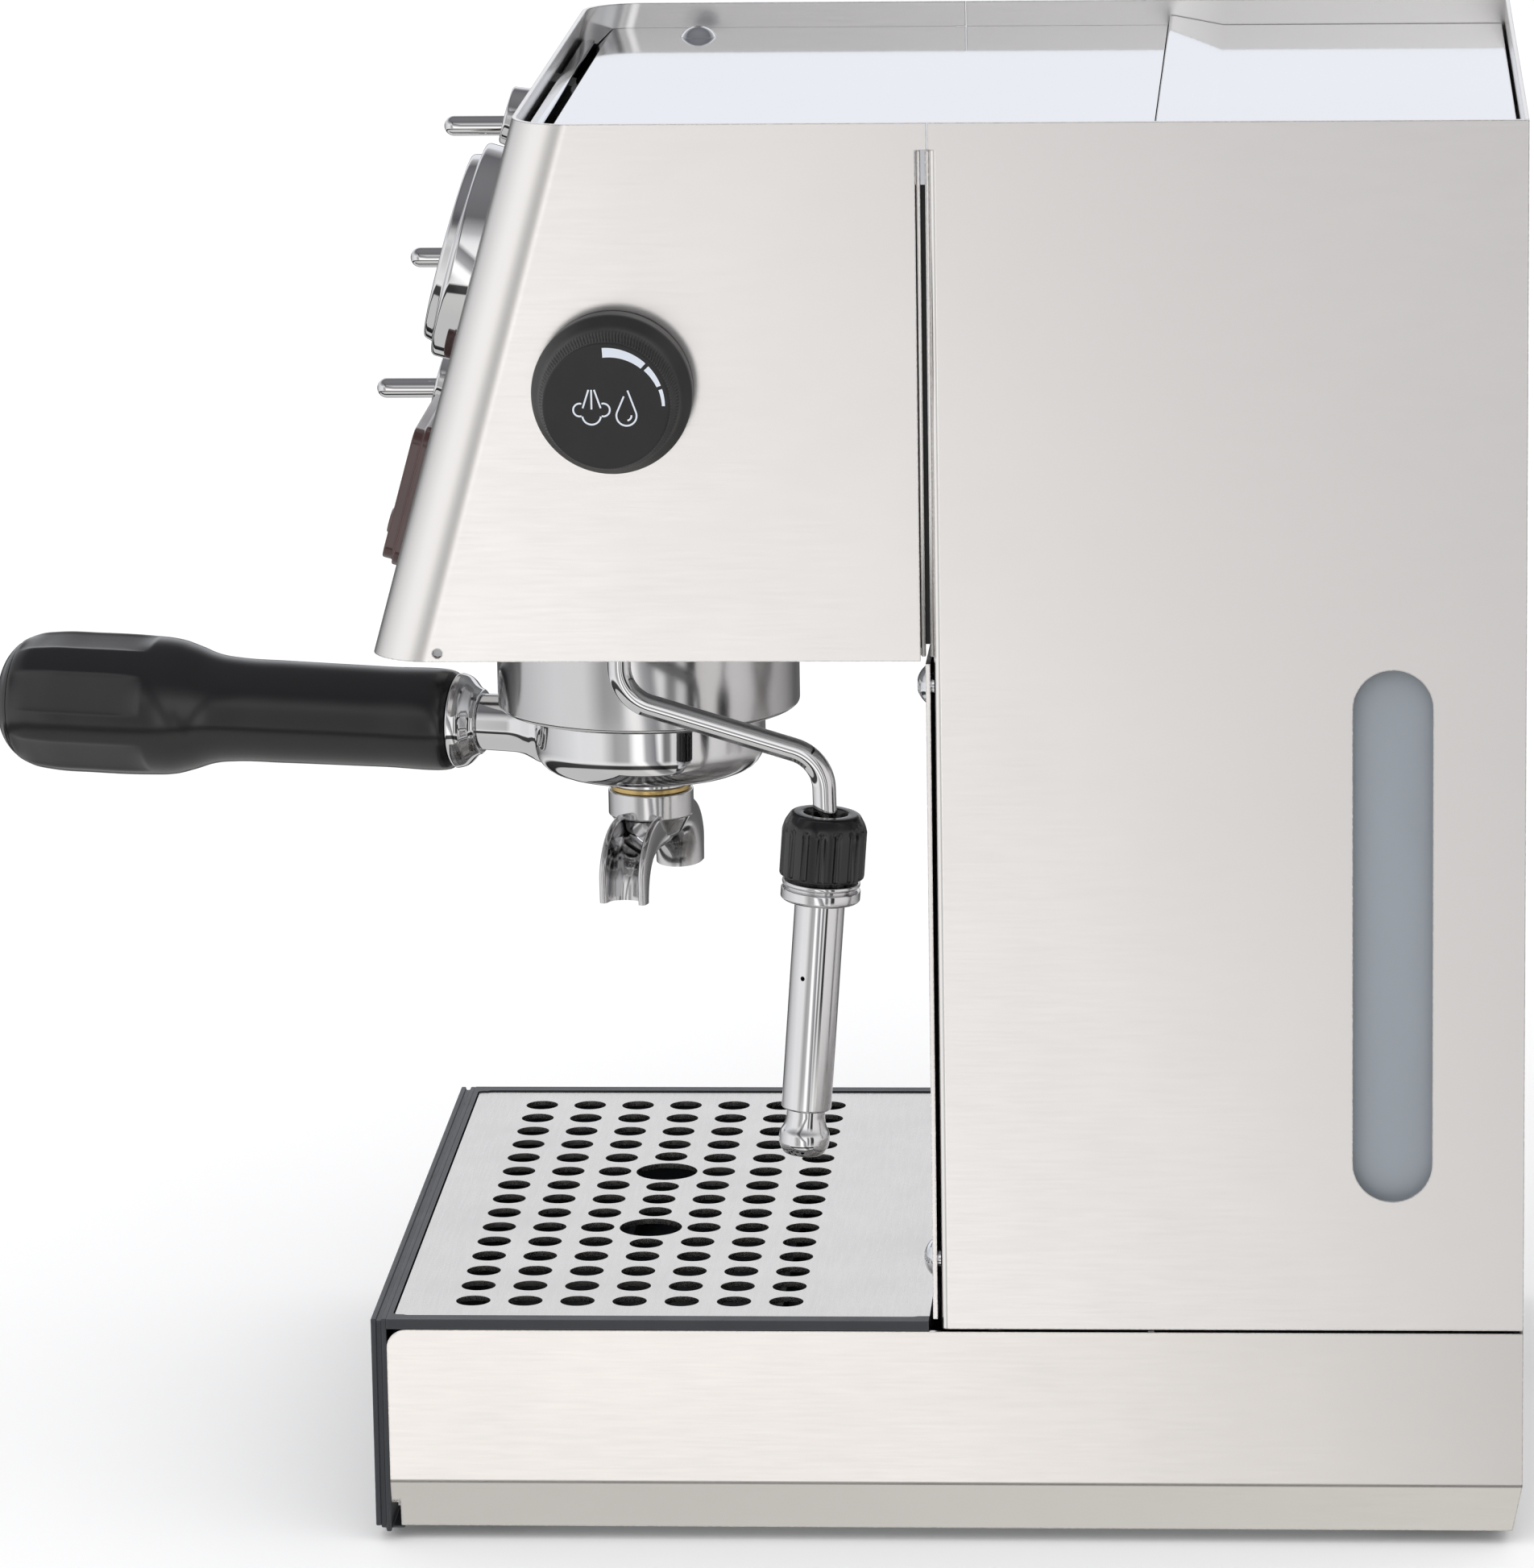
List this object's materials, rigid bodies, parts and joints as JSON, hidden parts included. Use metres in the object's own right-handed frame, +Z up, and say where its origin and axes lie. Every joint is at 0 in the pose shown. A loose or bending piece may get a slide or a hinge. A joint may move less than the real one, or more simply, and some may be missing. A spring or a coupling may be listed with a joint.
{
  "type": "espresso machine",
  "caption": "Compact espresso machine: boxed steel body with a sloping control panel, bayonet portafilter, steam wand, lift-out water tank and slide-out drip tray.",
  "frame": {"origin": "middle of the machine's bounding box in plan, on the surface that the feet stand on", "axes": "+Z up, +Y from the portafilter's handle towards the rear wall, +X towards the side with the steam knob"},
  "size_m": [0.254, 0.4208, 0.3765],
  "materials": {
    "steel_satin": "satin brushed stainless sheet",
    "steel_bright": "bright polished stainless",
    "steel_zinc": "zinc-plated sheet and fasteners",
    "chrome": "polished chrome on brass",
    "brass": "bare brass",
    "plastic_black": "fine-grained black plastic",
    "plastic_handle": "satin black thermoset",
    "plastic_brown": "dark brown-red smoked plastic",
    "lens_dark": "dark window",
    "rubber_black": "matt rubber",
    "tank_clear": "clear blue-grey plastic",
    "glass_clear": "clear glass",
    "dial_white": "printed dial",
    "needle_black": "black painted needle",
    "coil_plastic": "moulded housing",
    "hose_silicone": "silicone hose and pipe"
  },
  "bodies": {
    "machine": {"base_housing": "steel_satin", "bottom_plate": "steel_zinc", "rubber_feet": "rubber_black", "inner_fasteners": "steel_zinc", "inner_frame": "steel_zinc", "tower_shell": "steel_satin", "tower_front_cover": "steel_satin", "dome_screws": "steel_bright", "rear_panel": "steel_satin", "head_shell": "steel_satin", "head_floor": "steel_zinc", "cup_tray": "steel_bright", "tank_dock": "rubber_black", "group_ring": "chrome", "group_gasket": "rubber_black", "shower_screen": "steel_bright", "steam_valve": "brass", "wand_gland": "brass", "gauge_bezel": "chrome", "gauge_case": "steel_zinc", "gauge_dial": "dial_white", "gauge_glass": "glass_clear", "display_case": "plastic_brown", "display_lens": "lens_dark", "toggle_collars": "chrome", "toggle_switches": "plastic_black", "boiler_lower": "brass", "boiler_upper": "brass", "heating_element": "steel_zinc", "brew_valve": "coil_plastic", "pump": "coil_plastic", "water_lines": "hose_silicone", "control_box": "coil_plastic", "power_inlet": "plastic_black"},
    "portafilter": {"portafilter_bowl": "chrome", "handle_ferrule": "chrome", "handle_grip": "plastic_handle", "handle_cap": "plastic_handle", "filter_basket": "steel_bright", "spout_seal": "brass", "twin_spout": "chrome"},
    "steam_knob": {"steam_knob": "plastic_black", "valve_spindle": "brass"},
    "steam_wand": {"wand_pipe": "chrome", "wand_grip": "plastic_black", "wand_flange": "chrome", "wand_tube": "steel_bright", "wand_tip": "steel_bright"},
    "lever_power": {"toggle_lever_power": "chrome"},
    "lever_brew": {"toggle_lever_brew": "chrome"},
    "lever_steam": {"toggle_lever_steam": "chrome"},
    "gauge_needle": {"gauge_needle": "needle_black"},
    "button_up": {"display_button_up": "plastic_brown"},
    "button_down": {"display_button_down": "plastic_brown"},
    "drip_tray": {"drip_bin": "plastic_black", "drip_fascia": "plastic_black"},
    "drip_grate": {"drip_grate": "steel_satin"},
    "water_tank": {"water_tank": "tank_clear", "tank_valve": "plastic_black"},
    "tank_lid": {"tank_lid": "steel_bright"}
  },
  "joints": [
    {"name": "portafilter_turn", "type": "hinge", "parent": "machine", "child": "portafilter", "pos_m": [-0.012, -0.02613, 0.21], "axis": [0, 0, 1], "range_deg": [-32, 12.5]},
    {"name": "steam_knob_turn", "type": "hinge", "parent": "machine", "child": "steam_knob", "pos_m": [0.108, -0.02363, 0.3086], "axis": [1, 0, 0], "range_deg": [0, 270]},
    {"name": "wand_swivel", "type": "hinge", "parent": "machine", "child": "steam_wand", "pos_m": [0.066, -0.02713, 0.235], "axis": [0, 0, 1], "range_deg": [-80, 20]},
    {"name": "gauge_sweep", "type": "hinge", "parent": "machine", "child": "gauge_needle", "pos_m": [0.038, -0.06205, 0.33221], "axis": [0, 0.9628, -0.2701], "range_deg": [0, 270], "stiffness_Nm_per_rad": 0.0002, "springref_deg": -17.19},
    {"name": "button_up_press", "type": "slide", "parent": "machine", "child": "button_up", "axis": [0, 0.9628, -0.2701], "range_m": [0, 0.0008], "stiffness_N_per_m": 500, "springref_m": -0.0006},
    {"name": "button_down_press", "type": "slide", "parent": "machine", "child": "button_down", "axis": [0, 0.9628, -0.2701], "range_m": [0, 0.0008], "stiffness_N_per_m": 500, "springref_m": -0.0006},
    {"name": "drip_tray_slide", "type": "slide", "parent": "machine", "child": "drip_tray", "axis": [0, -1, 0], "range_m": [0, 0.13]},
    {"name": "grate_lift", "type": "slide", "parent": "drip_tray", "child": "drip_grate", "axis": [0, 0, 1], "range_m": [0, 0.0085]},
    {"name": "tank_lift", "type": "slide", "parent": "machine", "child": "water_tank", "axis": [0, 0, 1], "range_m": [0, 0.32]},
    {"name": "lid_lift", "type": "slide", "parent": "water_tank", "child": "tank_lid", "axis": [0, 0, 1], "range_m": [0, 0.08]},
    {"name": "lever_power_flip", "type": "hinge", "parent": "machine", "child": "lever_power", "pos_m": [-0.062, -0.05555, 0.35168], "axis": [-1, 0, 0], "range_deg": [0, 31]},
    {"name": "lever_brew_flip", "type": "hinge", "parent": "machine", "child": "lever_brew", "pos_m": [-0.062, -0.06576, 0.31528], "axis": [-1, 0, 0], "range_deg": [0, 31]},
    {"name": "lever_steam_flip", "type": "hinge", "parent": "machine", "child": "lever_steam", "pos_m": [-0.062, -0.07598, 0.27889], "axis": [-1, 0, 0], "range_deg": [0, 31]}
  ]
}
